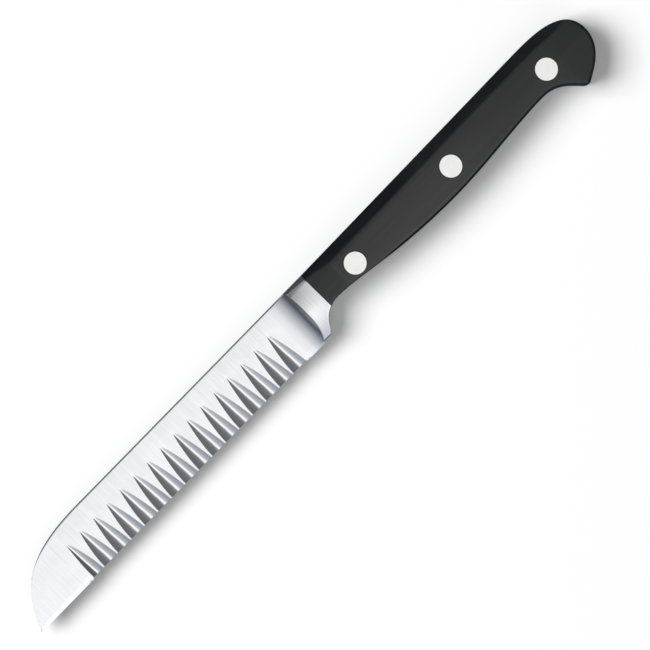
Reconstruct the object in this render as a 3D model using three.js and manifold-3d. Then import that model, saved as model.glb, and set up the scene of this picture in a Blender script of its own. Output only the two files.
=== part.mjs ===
// Decorating knife: a forged, fluted blade with a full tang between two riveted plastic scales.
// Millimetres. The knife lies on its side: +X runs from the tip to the butt, +Y towards the spine, +Z up.
// Until it is placed at the end, x is measured from the joint between bolster and handle, depth is
// measured down from the spine, and z from the middle plane of the blade.
import * as THREE from 'three';
import { mergeVertices } from 'three/addons/utils/BufferGeometryUtils.js';
import Module from 'manifold-3d';

// Blade
const BLADE_LENGTH = 110;
const BLADE_DEPTH = 17.5;
const SPINE_THICKNESS = 2;
const EDGE_STOCK = 0.9;
const SPINE_EASE = 0.45;
const PLAIN_EDGE_THICKNESS = 0.3;
const PLAIN_EDGE_BEVEL = 0.45;

// Tip: the spine bends down to a point, and the blade gets thinner towards it
const TIP_CURVE_LENGTH = 30.7;
const TIP_SPINE_PULL = 17.1;
const TIP_POINT_PULL = 13.8;
const TIP_POINT_ANGLE = 70;
const TIP_TAPER_LENGTH = 22.5;
const TIP_THICKNESS = 0.5;

// Flutes: tapered grooves, cut from both sides by turns, that make the edge a zigzag. Each sinks most near
// its top and leans a little; the first one has a narrower wall on the tip side
const FLUTE_PITCH = 5.23;
const PLAIN_TIP_LENGTH = 19;
const PLAIN_HEEL_LENGTH = 6.9;
const FLUTE_TOP_NEAR_TIP = 5.4;
const FLUTE_TOP_NEAR_HEEL = 4.6;
const FLUTE_FLOOR_AT_TOP = 0.2;
const FLUTE_FLOOR_AT_EDGE = 0.5;
const FLUTE_LAND_AT_EDGE = 0.48;
const FLUTED_EDGE_SETBACK = 0.4;
const FLUTED_EDGE_WEB = 0.12;
const FLUTE_SINK_POWER = 1.55;
const FLUTE_LEAN = 0.6;
const FIRST_WALL_SHARE = 0.78;

// Bolster, with a hollow fillet in front of it and a finger guard below it; its face falls away at the heel
const BOLSTER_LENGTH = 8;
const BOLSTER_FACE_LENGTH = 6;
const BOLSTER_FRONT_THICKNESS = 8.1;
const FILLET_LENGTH = 5.2;
const HEEL_FALL = 1.7;
const HEEL_FALL_HEIGHT = 9;
const HEEL_LIFT = 0.5;
const GUARD_LENGTH = 5.1;
const GUARD_HEEL_PULL = 3.76;
const GUARD_HEEL_ANGLE = 66;
const GUARD_WAIST_PULL = 3.2;

// Handle outline
const HANDLE_LENGTH = 101.8;
const SPINE_RISE = 0.79;
const WAIST_FROM_JOINT = 2.8;
const WAIST_DEPTH = 11.13;
const WAIST_PULL = 9.2;
const BELLY_FROM_JOINT = 45.8;
const BELLY_DEPTH = 15;
const BELLY_FRONT_PULL = 23.6;
const BELLY_REAR_PULL = 11.2;
const NECK_FROM_BUTT = 21.3;
const NECK_DEPTH = 13.1;
const NECK_FRONT_PULL = 9.6;
const NECK_REAR_PULL = 5.5;
const BEAK_FROM_BUTT = 10.2;
const BEAK_DEPTH = 19.85;
const BEAK_ROUND = 1.4;
const BEAK_FRONT_ANGLE = 45;
const BEAK_FRONT_PULL = 3.3;
const BEAK_REAR_ANGLE = 30;
const BEAK_REAR_PULL = 3.2;
const BUTT_CROWN_LENGTH = 19.1;
const BUTT_CROWN_PULL = 8;
const BUTT_END_DEPTH = 8;
const BUTT_END_PULL = 6.75;

// Handle thickness, and how its faces fall off towards the spine, the bolster and the butt
const HANDLE_THICKNESS = 12;
const TANG_THICKNESS = 3;
const SPINE_CHAMFER_DEPTH = 3.1;
const SPINE_FLAT_WIDTH = 5.4;
const JOINT_THICKNESS = 8.9;
const JOINT_RAMP_LENGTH = 7.75;
const BUTT_FALL = 0.8;
const BUTT_RAMP_LENGTH = 11;
const SCALE_EDGE_ROUND = 0.65;

// Two-piece rivets: the pin of one half is pressed into the tube of the other
const RIVET_HEAD_DIAMETER = 6.35;
const RIVET_HEAD_THICKNESS = 1.6;
const RIVET_TUBE_DIAMETER = 4.2;
const RIVET_PIN_DIAMETER = 3;
const RIVET_END_GAP = 0.5;
const FRONT_RIVET_FROM_JOINT = 12.8;
const REAR_RIVET_FROM_BUTT = 15.4;
const RIVET_LINE_DROP = 0.3;
const RIVET_EDGE_MARGIN = 0.8;

// Fits
const JOINT_CLEARANCE = 0.05;
const RIVET_CLEARANCE = 0.05;

// Mesh resolution, and how far a cutting tool reaches past its cut, a slanted one by a share of its slope
const CURVE_STEPS = 14;
const FILLET_STEPS = 7;
const FALL_STEPS = 5;
const FLUTE_STEPS = 5;
const ROUND_STEPS = 2;
const RIVET_SIDES = 28;
const OVERSHOOT = 2;
const SLANT_OVERSHOOT = 0.6;
const MERGE_DISTANCE = 1e-5;

const wasm = await Module();
wasm.setup();

// Places that several pieces share
const tipX = -(BOLSTER_LENGTH + BLADE_LENGTH);
const heelX = -BOLSTER_LENGTH;
const heelDepth = BLADE_DEPTH - HEEL_LIFT;
const tangHalf = TANG_THICKNESS / 2;
const handleHalf = HANDLE_THICKNESS / 2;
const jointHalf = JOINT_THICKNESS / 2;
const buttCrownX = HANDLE_LENGTH - BUTT_CROWN_LENGTH;
const spineSlope = Math.atan2(SPINE_RISE, buttCrownX);
const fluteCount = Math.floor((BLADE_LENGTH - PLAIN_TIP_LENGTH - PLAIN_HEEL_LENGTH) / FLUTE_PITCH);
const flutedHeelX = heelX - PLAIN_HEEL_LENGTH;
const fluteRun = (FLUTE_PITCH - FLUTE_LAND_AT_EDGE - FLUTE_FLOOR_AT_EDGE) / 2;
const flutedTipX = flutedHeelX - fluteCount * FLUTE_PITCH + fluteRun * (1 - FIRST_WALL_SHARE);
const flutedEdgeDepth = BLADE_DEPTH - FLUTED_EDGE_SETBACK;

function lerp(a, b, t) {
  return a + (b - a) * t;
}

// A point some way from another, at an angle above the direction towards the butt
function polar(x, y, distance, degrees) {
  const angle = THREE.MathUtils.degToRad(degrees);
  return [x + distance * Math.cos(angle), y + distance * Math.sin(angle)];
}

// A closed three.js geometry as a solid that can be joined and cut
function solidOf(geometry) {
  const bare = geometry.clone();
  bare.deleteAttribute('normal');
  bare.deleteAttribute('uv');
  const merged = mergeVertices(bare, MERGE_DISTANCE);
  const corners = merged.index.array;
  const triangles = [];
  for (let i = 0; i < corners.length; i += 3) {
    const [a, b, c] = [corners[i], corners[i + 1], corners[i + 2]];
    if (a !== b && b !== c && c !== a) triangles.push(a, b, c);
  }
  return new wasm.Manifold(new wasm.Mesh({
    numProp: 3,
    vertProperties: merged.attributes.position.array,
    triVerts: Uint32Array.from(triangles),
  }));
}

function geometryOf(solid) {
  const mesh = solid.getMesh();
  const geometry = new THREE.BufferGeometry();
  geometry.setAttribute('position', new THREE.BufferAttribute(mesh.vertProperties, 3));
  geometry.setIndex(new THREE.BufferAttribute(mesh.triVerts, 1));
  geometry.computeVertexNormals();
  return geometry;
}

// The same piece on the other side of the middle plane
function mirrored(geometry) {
  const copy = geometry.clone().scale(1, 1, -1);
  const corners = copy.index.array;
  for (let i = 0; i < corners.length; i += 3) {
    [corners[i], corners[i + 1]] = [corners[i + 1], corners[i]];
  }
  copy.computeVertexNormals();
  return copy;
}

function otherSide(solid) {
  return solidOf(mirrored(geometryOf(solid)));
}

function box(low, high) {
  const size = high.map((value, axis) => value - low[axis]);
  const geometry = new THREE.BoxGeometry(...size);
  geometry.translate(...low.map((value, axis) => value + size[axis] / 2));
  return solidOf(geometry);
}

// A polygon of [x, z] points, run across the whole knife from above the spine to below the beak
function prismAcross(points) {
  const shape = new THREE.Shape(points.map(([x, z]) => new THREE.Vector2(x, z)));
  const reach = BEAK_DEPTH + SPINE_RISE + 2 * OVERSHOOT;
  const geometry = new THREE.ExtrudeGeometry(shape, { depth: reach, bevelEnabled: false });
  geometry.rotateX(Math.PI / 2);
  geometry.translate(0, SPINE_RISE + OVERSHOOT, 0);
  return solidOf(geometry);
}

// A closed body between two grids of points that mirror each other in the middle plane
function mirroredSlab(rows) {
  const columns = rows[0].length;
  const side = rows.length * columns;
  const upper = rows.flat();
  const lower = upper.map(([x, y, z]) => [x, y, -z]);
  const index = [];
  const quad = (a, b, c, d) => index.push(a, b, c, a, c, d);
  for (let r = 0; r + 1 < rows.length; r += 1) {
    for (let c = 0; c + 1 < columns; c += 1) {
      const corner = r * columns + c;
      quad(corner, corner + columns, corner + columns + 1, corner + 1);
      quad(side + corner, side + corner + 1, side + corner + columns + 1, side + corner + columns);
    }
  }
  for (let c = 0; c + 1 < columns; c += 1) {
    const last = side - columns + c;
    quad(c, c + 1, side + c + 1, side + c);
    quad(last, side + last, side + last + 1, last + 1);
  }
  for (let r = 0; r + 1 < rows.length; r += 1) {
    const first = r * columns;
    const last = first + columns - 1;
    quad(first, side + first, side + first + columns, first + columns);
    quad(last, last + columns, side + last + columns, side + last);
  }
  const geometry = new THREE.BufferGeometry();
  geometry.setAttribute('position', new THREE.Float32BufferAttribute([...upper, ...lower].flat(), 3));
  geometry.setIndex(index);
  return solidOf(geometry);
}

// Half the blade's thickness at a depth, with no taper towards the tip
function bladeHalf(depth) {
  return lerp(SPINE_THICKNESS, EDGE_STOCK, depth / BLADE_DEPTH) / 2;
}

// Side outline from the top of the joint round the butt and along the belly to the heel's lower corner
function traceHandle(shape) {
  const beakX = HANDLE_LENGTH - BEAK_FROM_BUTT;
  const neckX = HANDLE_LENGTH - NECK_FROM_BUTT;
  const rearEnd = polar(beakX, -BEAK_DEPTH, BEAK_ROUND, BEAK_REAR_ANGLE);
  const rearPull = polar(beakX, -BEAK_DEPTH, BEAK_ROUND + BEAK_REAR_PULL, BEAK_REAR_ANGLE);
  const frontEnd = polar(beakX, -BEAK_DEPTH, BEAK_ROUND, 180 - BEAK_FRONT_ANGLE);
  const frontPull = polar(beakX, -BEAK_DEPTH, BEAK_ROUND + BEAK_FRONT_PULL, 180 - BEAK_FRONT_ANGLE);
  const guardPull = polar(-GUARD_LENGTH, -heelDepth, GUARD_HEEL_PULL, GUARD_HEEL_ANGLE);
  shape.lineTo(buttCrownX, SPINE_RISE);
  shape.bezierCurveTo(buttCrownX + BUTT_CROWN_PULL, SPINE_RISE, HANDLE_LENGTH, SPINE_RISE,
    HANDLE_LENGTH, -BUTT_END_DEPTH);
  shape.bezierCurveTo(HANDLE_LENGTH, -BUTT_END_DEPTH - BUTT_END_PULL, ...rearPull, ...rearEnd);
  shape.quadraticCurveTo(beakX, -BEAK_DEPTH, ...frontEnd);
  shape.bezierCurveTo(...frontPull, neckX + NECK_REAR_PULL, -NECK_DEPTH, neckX, -NECK_DEPTH);
  shape.bezierCurveTo(neckX - NECK_FRONT_PULL, -NECK_DEPTH,
    BELLY_FROM_JOINT + BELLY_REAR_PULL, -BELLY_DEPTH, BELLY_FROM_JOINT, -BELLY_DEPTH);
  shape.bezierCurveTo(BELLY_FROM_JOINT - BELLY_FRONT_PULL, -BELLY_DEPTH,
    WAIST_FROM_JOINT + WAIST_PULL, -WAIST_DEPTH, WAIST_FROM_JOINT, -WAIST_DEPTH);
  shape.bezierCurveTo(WAIST_FROM_JOINT - GUARD_WAIST_PULL, -WAIST_DEPTH, ...guardPull,
    -GUARD_LENGTH, -heelDepth);
}

// Outline that both scales are cut to; it runs on under the bolster, where the joint trims it
function handleShape() {
  const shape = new THREE.Shape();
  shape.moveTo(heelX, 0);
  shape.lineTo(0, 0);
  traceHandle(shape);
  shape.lineTo(heelX, -heelDepth);
  return shape;
}

// Outline of the whole forging: blade, bolster and tang
function forgingShape() {
  const tipPull = polar(tipX, -BLADE_DEPTH, TIP_POINT_PULL, TIP_POINT_ANGLE);
  const tipCurveX = tipX + TIP_CURVE_LENGTH;
  const shape = new THREE.Shape();
  shape.moveTo(tipX, -BLADE_DEPTH);
  shape.bezierCurveTo(...tipPull, tipCurveX - TIP_SPINE_PULL, 0, tipCurveX, 0);
  shape.lineTo(0, 0);
  traceHandle(shape);
  shape.lineTo(heelX, -heelDepth);
  shape.lineTo(heelX, -BLADE_DEPTH);
  shape.lineTo(flutedHeelX, -BLADE_DEPTH);
  shape.lineTo(flutedHeelX, -flutedEdgeDepth);
  shape.lineTo(flutedTipX, -flutedEdgeDepth);
  shape.lineTo(flutedTipX, -BLADE_DEPTH);
  return shape;
}

// One lengthwise row of the blade and bolster at a depth: tip, taper, hollow fillet and bolster face
function thicknessRow(depth) {
  const half = bladeHalf(depth);
  const easeShare = Math.max(0, (SPINE_EASE - depth) / SPINE_EASE);
  const taperX = tipX + TIP_TAPER_LENGTH;
  const taperRate = (EDGE_STOCK - TIP_THICKNESS) / 2 / TIP_TAPER_LENGTH;
  const fallShare = Math.max(0, depth - (heelDepth - HEEL_FALL_HEIGHT)) / HEEL_FALL_HEIGHT;
  const rise = BOLSTER_FRONT_THICKNESS / 2 - half;
  const radius = FILLET_LENGTH / Math.sin(2 * Math.atan2(rise, FILLET_LENGTH));
  const endTurn = Math.acos(1 - (rise - HEEL_FALL * fallShare ** 2) / radius);
  const startX = -BOLSTER_FACE_LENGTH - FILLET_LENGTH;
  const profile = [
    [tipX - OVERSHOOT, half - taperRate * (TIP_TAPER_LENGTH + OVERSHOOT)],
    [taperX, half],
  ];
  for (let step = 0; step <= FILLET_STEPS; step += 1) {
    const turn = endTurn * step / FILLET_STEPS;
    profile.push([startX + radius * Math.sin(turn), half + radius * (1 - Math.cos(turn))]);
  }
  profile.push([0, jointHalf]);
  return profile.map(([x, z]) => [x, -depth, z - easeShare * Math.min(SPINE_EASE, z / 2)]);
}

// Blade and bolster before the outline is cut: eased along the spine and bevelled along the edge
function bladeSlab() {
  const rows = [thicknessRow(-SPINE_EASE / 2), thicknessRow(SPINE_EASE)];
  for (let step = 0; step <= FALL_STEPS; step += 1) {
    rows.push(thicknessRow(heelDepth - HEEL_FALL_HEIGHT * (1 - step / FALL_STEPS)));
  }
  rows.push(thicknessRow(BLADE_DEPTH - PLAIN_EDGE_BEVEL));
  rows.push(thicknessRow(BLADE_DEPTH).map(([x, y]) => [x, y, PLAIN_EDGE_THICKNESS / 2]));
  return mirroredSlab(rows);
}

// A closed body through rings of equally many points, listed clockwise as seen from outside the first ring
function loft(rings) {
  const count = rings[0].length;
  const index = [];
  for (let r = 0; r + 1 < rings.length; r += 1) {
    for (let i = 0; i < count; i += 1) {
      const next = (i + 1) % count;
      const a = r * count + i;
      const b = r * count + next;
      index.push(a, b, b + count, a, b + count, a + count);
    }
  }
  const last = (rings.length - 1) * count;
  for (let i = 1; i + 1 < count; i += 1) {
    index.push(0, i + 1, i, last, last + i, last + i + 1);
  }
  const geometry = new THREE.BufferGeometry();
  geometry.setAttribute('position', new THREE.Float32BufferAttribute(rings.flat(2), 3));
  geometry.setIndex(index);
  return solidOf(geometry);
}

// Cutting tool for one flute on the upper face: it sinks and widens from the flute's top to the edge
function fluteCutter(centreX, topDepth, tipWallShare) {
  const crossing = FLUTE_PITCH / 2 - FLUTE_LAND_AT_EDGE;
  const edgeCut = (2 * bladeHalf(flutedEdgeDepth) - FLUTED_EDGE_WEB) * fluteRun / crossing;
  const wall = fluteRun / edgeCut;
  const station = (share) => {
    const depth = lerp(topDepth, flutedEdgeDepth, share);
    const cut = edgeCut * (1 - Math.abs(1 - share) ** FLUTE_SINK_POWER);
    const x = centreX - FLUTE_LEAN * (1 - share);
    const floorHalf = lerp(FLUTE_FLOOR_AT_TOP, FLUTE_FLOOR_AT_EDGE, share) / 2;
    const reach = wall * (OVERSHOOT + cut);
    const land = bladeHalf(depth);
    return [
      [x - floorHalf - reach * tipWallShare, -depth, land + OVERSHOOT],
      [x - floorHalf, -depth, land - cut],
      [x + floorHalf, -depth, land - cut],
      [x + floorHalf + reach, -depth, land + OVERSHOOT],
    ];
  };
  const rings = [];
  for (let step = -1; step <= FLUTE_STEPS + 1; step += 1) rings.push(station(step / FLUTE_STEPS));
  return loft(rings);
}

// All the flutes: one to each pitch on the upper face, and one between each two on the lower face
function fluteCutters() {
  const cutters = [];
  const topAt = (x) => {
    const share = (flutedHeelX - x) / (flutedHeelX - flutedTipX);
    return lerp(FLUTE_TOP_NEAR_HEEL, FLUTE_TOP_NEAR_TIP, share);
  };
  for (let i = 0; i < fluteCount; i += 1) {
    const x = flutedHeelX - (i + 0.5) * FLUTE_PITCH;
    const nearestTip = i + 1 === fluteCount;
    cutters.push(fluteCutter(x, topAt(x), nearestTip ? FIRST_WALL_SHARE : 1));
  }
  for (let i = 1; i < fluteCount; i += 1) {
    const x = flutedHeelX - i * FLUTE_PITCH;
    cutters.push(otherSide(fluteCutter(x, topAt(x), 1)));
  }
  return cutters;
}

// Cutting tool for the long chamfer between the spine and the upper face, in line with the handle's spine
function spineChamferCutter() {
  const spineHalf = SPINE_FLAT_WIDTH / 2;
  const at = (share) => new THREE.Vector2(-SPINE_CHAMFER_DEPTH * share, lerp(spineHalf, handleHalf, share));
  const above = at(-SLANT_OVERSHOOT);
  const beyond = at(1 + SLANT_OVERSHOOT);
  const shape = new THREE.Shape([above, beyond, new THREE.Vector2(above.x, beyond.y)]);
  const reach = BOLSTER_LENGTH + FILLET_LENGTH + HANDLE_LENGTH + 2 * OVERSHOOT;
  const geometry = new THREE.ExtrudeGeometry(shape, { depth: reach, bevelEnabled: false });
  const along = new THREE.Vector3(1, 0, 0);
  const up = new THREE.Vector3(0, 1, 0);
  const out = new THREE.Vector3(0, 0, 1);
  geometry.applyMatrix4(new THREE.Matrix4().makeBasis(up, out, along));
  geometry.translate(-BOLSTER_LENGTH - FILLET_LENGTH - OVERSHOOT, 0, 0);
  geometry.rotateZ(spineSlope);
  return solidOf(geometry);
}

// Cutting tool for a slope on the upper face, from full thickness at one x to a lower half at another
function rampCutter(highX, lowX, lowHalf) {
  const at = (share) => [lerp(highX, lowX, share), lerp(handleHalf, lowHalf, share)];
  const [startX, startZ] = at(-SLANT_OVERSHOOT);
  const [endX, endZ] = at(1 + SLANT_OVERSHOOT);
  return prismAcross([[startX, startZ], [endX, endZ], [endX, startZ]]);
}

// Depth of the handle's lower outline at an x
function bellyDepthAt(x) {
  const points = handleShape().getPoints(CURVE_STEPS);
  for (let i = 0; i + 1 < points.length; i += 1) {
    const [a, b] = [points[i], points[i + 1]];
    if (a.x >= x && b.x <= x && a.x > b.x && a.x < HANDLE_LENGTH - BEAK_FROM_BUTT) {
      return -lerp(a.y, b.y, (a.x - x) / (a.x - b.x));
    }
  }
  throw new Error(`No belly at x = ${x}`);
}

// The three rivets stand on one line, which drops a little towards the butt; the front head keeps its margin
// above the belly
function rivetPlaces() {
  const rearX = HANDLE_LENGTH - REAR_RIVET_FROM_BUTT;
  const middleX = (FRONT_RIVET_FROM_JOINT + rearX) / 2;
  const y = RIVET_HEAD_DIAMETER / 2 + RIVET_EDGE_MARGIN - bellyDepthAt(FRONT_RIVET_FROM_JOINT);
  return [
    { name: 'front', x: FRONT_RIVET_FROM_JOINT, y },
    { name: 'middle', x: middleX, y: y - RIVET_LINE_DROP / 2 },
    { name: 'rear', x: rearX, y: y - RIVET_LINE_DROP },
  ];
}

// A turned body about the Z axis, from [radius, z] points that start and end on the axis
function turned(points) {
  const profile = points.map(([radius, z]) => new THREE.Vector2(radius, z));
  const geometry = new THREE.LatheGeometry(profile, RIVET_SIDES);
  geometry.rotateX(Math.PI / 2);
  return solidOf(geometry);
}

// Hole for a rivet through scales and tang, with a pocket for its head at each face
function rivetHole({ x, y }) {
  const hole = RIVET_TUBE_DIAMETER / 2 + RIVET_CLEARANCE;
  const pocket = RIVET_HEAD_DIAMETER / 2 + RIVET_CLEARANCE;
  const floor = handleHalf - RIVET_HEAD_THICKNESS - RIVET_CLEARANCE;
  const top = handleHalf + OVERSHOOT;
  const profile = [[0, -top], [pocket, -top], [pocket, -floor], [hole, -floor],
    [hole, floor], [pocket, floor], [pocket, top], [0, top]];
  return solidOf(geometryOf(turned(profile)).translate(x, y, 0));
}

function rivetPin() {
  const head = RIVET_HEAD_DIAMETER / 2;
  const pin = RIVET_PIN_DIAMETER / 2;
  const seat = handleHalf - RIVET_HEAD_THICKNESS;
  const end = -seat + RIVET_END_GAP;
  return turned([[0, end], [pin, end], [pin, seat], [head, seat], [head, handleHalf], [0, handleHalf]]);
}

function rivetTube() {
  const head = RIVET_HEAD_DIAMETER / 2;
  const tube = RIVET_TUBE_DIAMETER / 2;
  const bore = RIVET_PIN_DIAMETER / 2 + RIVET_CLEARANCE;
  const seat = handleHalf - RIVET_HEAD_THICKNESS;
  const mouth = seat - RIVET_END_GAP;
  return turned([[0, -handleHalf], [head, -handleHalf], [head, -seat], [tube, -seat],
    [tube, mouth], [bore, mouth], [bore, -seat], [0, -seat]]);
}

// Blade, bolster and tang in one piece of steel
function forging() {
  const outline = new THREE.ExtrudeGeometry(forgingShape(), {
    depth: HANDLE_THICKNESS,
    bevelEnabled: false,
    curveSegments: CURVE_STEPS,
  });
  outline.translate(0, 0, -handleHalf);
  const tang = box([-BOLSTER_FACE_LENGTH / 2, -BEAK_DEPTH - OVERSHOOT, -tangHalf],
    [HANDLE_LENGTH + OVERSHOOT, SPINE_RISE + OVERSHOOT, tangHalf]);
  const chamfer = spineChamferCutter();
  let solid = bladeSlab().add(tang).intersect(solidOf(outline));
  solid = solid.subtract(chamfer).subtract(otherSide(chamfer));
  for (const cutter of fluteCutters()) solid = solid.subtract(cutter);
  for (const place of rivetPlaces()) solid = solid.subtract(rivetHole(place));
  return geometryOf(solid);
}

// The scale on the upper side: rounded edges, a flat face, and slopes to the spine, bolster and butt
function upperScale() {
  const plate = new THREE.ExtrudeGeometry(handleShape(), {
    depth: handleHalf - SCALE_EDGE_ROUND,
    bevelEnabled: true,
    bevelThickness: SCALE_EDGE_ROUND,
    bevelSize: SCALE_EDGE_ROUND,
    bevelOffset: -SCALE_EDGE_ROUND,
    bevelSegments: ROUND_STEPS,
    curveSegments: CURVE_STEPS,
  });
  const room = box([JOINT_CLEARANCE, -BEAK_DEPTH - OVERSHOOT, tangHalf + JOINT_CLEARANCE],
    [HANDLE_LENGTH + OVERSHOOT, SPINE_RISE + OVERSHOOT, handleHalf + OVERSHOOT]);
  let solid = solidOf(plate).intersect(room);
  solid = solid.subtract(spineChamferCutter());
  solid = solid.subtract(rampCutter(JOINT_RAMP_LENGTH, 0, jointHalf));
  const buttRampX = HANDLE_LENGTH - BUTT_RAMP_LENGTH;
  solid = solid.subtract(rampCutter(buttRampX, HANDLE_LENGTH, handleHalf - BUTT_FALL));
  for (const place of rivetPlaces()) solid = solid.subtract(rivetHole(place));
  return geometryOf(solid);
}

function piece(name, geometry, material) {
  const mesh = new THREE.Mesh(geometry, material);
  mesh.name = name;
  return mesh;
}

const satinSteel = () => new THREE.MeshStandardMaterial({ color: 0xd6d8dc, roughness: 0.35, metalness: 1 });
const blackPlastic = () => new THREE.MeshStandardMaterial({ color: 0x1c1c1d, roughness: 0.45, metalness: 0 });
const rivetMetal = () => new THREE.MeshStandardMaterial({ color: 0xebebea, roughness: 0.4, metalness: 1 });

const knife = new THREE.Group();
const upper = upperScale();
knife.add(piece('blade_forging', forging(), satinSteel()));
knife.add(piece('scale_upper', upper, blackPlastic()));
knife.add(piece('scale_lower', mirrored(upper), blackPlastic()));
for (const { name, x, y } of rivetPlaces()) {
  const rivet = new THREE.Group();
  rivet.position.set(x, y, 0);
  rivet.add(piece(`rivet_${name}_pin`, geometryOf(rivetPin()), rivetMetal()));
  rivet.add(piece(`rivet_${name}_tube`, geometryOf(rivetTube()), rivetMetal()));
  knife.add(rivet);
}

// The origin is under the middle of the knife, on the surface that it lies on
const bounds = new THREE.Box3().setFromObject(knife);
const middle = bounds.getCenter(new THREE.Vector3());
knife.position.set(-middle.x, -middle.y, -bounds.min.z);

const part = new THREE.Group();
part.add(knife);

export default part;
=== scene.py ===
"""Decorating knife: a fluted steel blade with a full tang between two riveted plastic scales.

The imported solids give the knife's place, and the sizes below its shape. Each piece is rebuilt here with
eased edges, soft creases and its own finish, in metres. Until a piece is placed, x runs from the joint
between bolster and handle towards the butt, depth runs down from the spine (y = -depth), and z from the
middle plane.
"""

import math

import bmesh
import bpy
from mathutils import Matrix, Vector
from mathutils.geometry import delaunay_2d_cdt


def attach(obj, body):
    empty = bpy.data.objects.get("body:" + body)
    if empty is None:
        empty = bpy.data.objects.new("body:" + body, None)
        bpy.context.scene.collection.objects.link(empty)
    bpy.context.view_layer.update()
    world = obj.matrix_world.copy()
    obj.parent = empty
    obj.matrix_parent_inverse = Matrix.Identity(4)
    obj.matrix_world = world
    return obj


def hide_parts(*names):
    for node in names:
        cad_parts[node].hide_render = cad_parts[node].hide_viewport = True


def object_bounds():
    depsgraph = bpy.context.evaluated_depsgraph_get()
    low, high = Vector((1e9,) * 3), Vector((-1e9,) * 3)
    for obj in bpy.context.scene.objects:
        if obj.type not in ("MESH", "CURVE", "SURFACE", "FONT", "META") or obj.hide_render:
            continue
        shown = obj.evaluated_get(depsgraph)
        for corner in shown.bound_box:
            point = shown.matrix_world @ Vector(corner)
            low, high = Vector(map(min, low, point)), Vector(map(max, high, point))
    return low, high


bl_info = {
    "name": "Decorating knife",
    "version": (1, 0, 0),
    "blender": (4, 5, 0),
    "location": "View3D > Sidebar > Knife",
    "description": "Builds a fluted decorating knife with a riveted handle, and a plain stage for it",
    "category": "Add Mesh",
}

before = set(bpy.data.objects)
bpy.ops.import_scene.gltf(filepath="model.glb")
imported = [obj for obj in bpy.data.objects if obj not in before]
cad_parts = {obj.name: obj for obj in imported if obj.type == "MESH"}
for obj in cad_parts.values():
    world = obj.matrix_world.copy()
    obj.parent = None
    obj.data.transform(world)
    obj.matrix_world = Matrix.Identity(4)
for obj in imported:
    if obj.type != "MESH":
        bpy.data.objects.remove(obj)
CAD_LOW, CAD_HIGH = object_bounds()

MM = 0.001
SAME_POINT = 1e-7
WELD_DISTANCE = 1e-6
SENSOR_WIDTH = 36.0
WHITE = (1.0, 1.0, 1.0)
COOL = (0.9, 0.96, 1.05)


def length(name, description, millimetres):
    """A size that the sidebar shows in the scene's unit."""
    return bpy.props.FloatProperty(
        name=name, description=description, default=millimetres * MM, min=0, precision=5, unit="LENGTH"
    )


def signed_length(name, description, millimetres):
    return bpy.props.FloatProperty(
        name=name, description=description, default=millimetres * MM, precision=5, unit="LENGTH"
    )


def ratio(name, description, default, low=0.0):
    return bpy.props.FloatProperty(name=name, description=description, default=default, min=low)


def angle(name, description, degrees):
    return bpy.props.FloatProperty(
        name=name, description=description, default=math.radians(degrees), subtype="ANGLE"
    )


def share(name, description, default):
    return bpy.props.FloatProperty(
        name=name, description=description, default=default, min=0, max=1, subtype="FACTOR"
    )


def colour(name, description, red, green, blue):
    return bpy.props.FloatVectorProperty(
        name=name, description=description, default=(red, green, blue), min=0, max=1, subtype="COLOR"
    )


class BladeSizes(bpy.types.PropertyGroup):
    length: length("Length", "From the tip to the heel", 110)
    depth: length("Depth", "From the spine to the plain edge", 17.5)
    spine_thickness: length("Spine thickness", "Thickness along the spine", 2)
    edge_stock: length("Stock at edge", "Thickness at the edge before it is sharpened", 0.9)
    fullness: ratio("Fullness", "How full the ground sides are; 1 is flat", 1.25, 1)
    spine_ease: length("Spine rounding", "Radius of the rounding along the spine", 0.42)
    sharp_point: length("Sharp point", "Distance from the tip at which that rounding starts", 8)
    full_ease: length("Full rounding", "Distance from the tip at which it has its full radius", 20)
    edge_thickness: length("Edge thickness", "Thickness of the plain edge at the tip and heel", 0.3)
    edge_bevel: length("Edge bevel", "Height of the bevel on the plain edge", 0.75)
    bevel_run_out: length("Bevel run-out", "Length over which the bevel runs out beside the flutes", 1.4)
    bevel_stop: length("Bevel stop", "Distance of the bevel's end from the flutes", 0.35)
    tip_curve: length("Tip curve", "Length over which the spine bends down to the tip", 30.7)
    tip_spine_pull: length("Tip spine pull", "How far the curve keeps to the spine", 17.1)
    tip_point_pull: length("Tip point pull", "How far the curve keeps to its direction at the tip", 13.8)
    tip_angle: angle("Tip angle", "Angle between the edge and the curve at the tip", 70)
    tip_taper: length("Tip taper", "Length over which the blade gets thinner towards the tip", 22.5)
    tip_thickness: length("Tip thickness", "Thickness at the tip before it is sharpened", 0.5)


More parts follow.
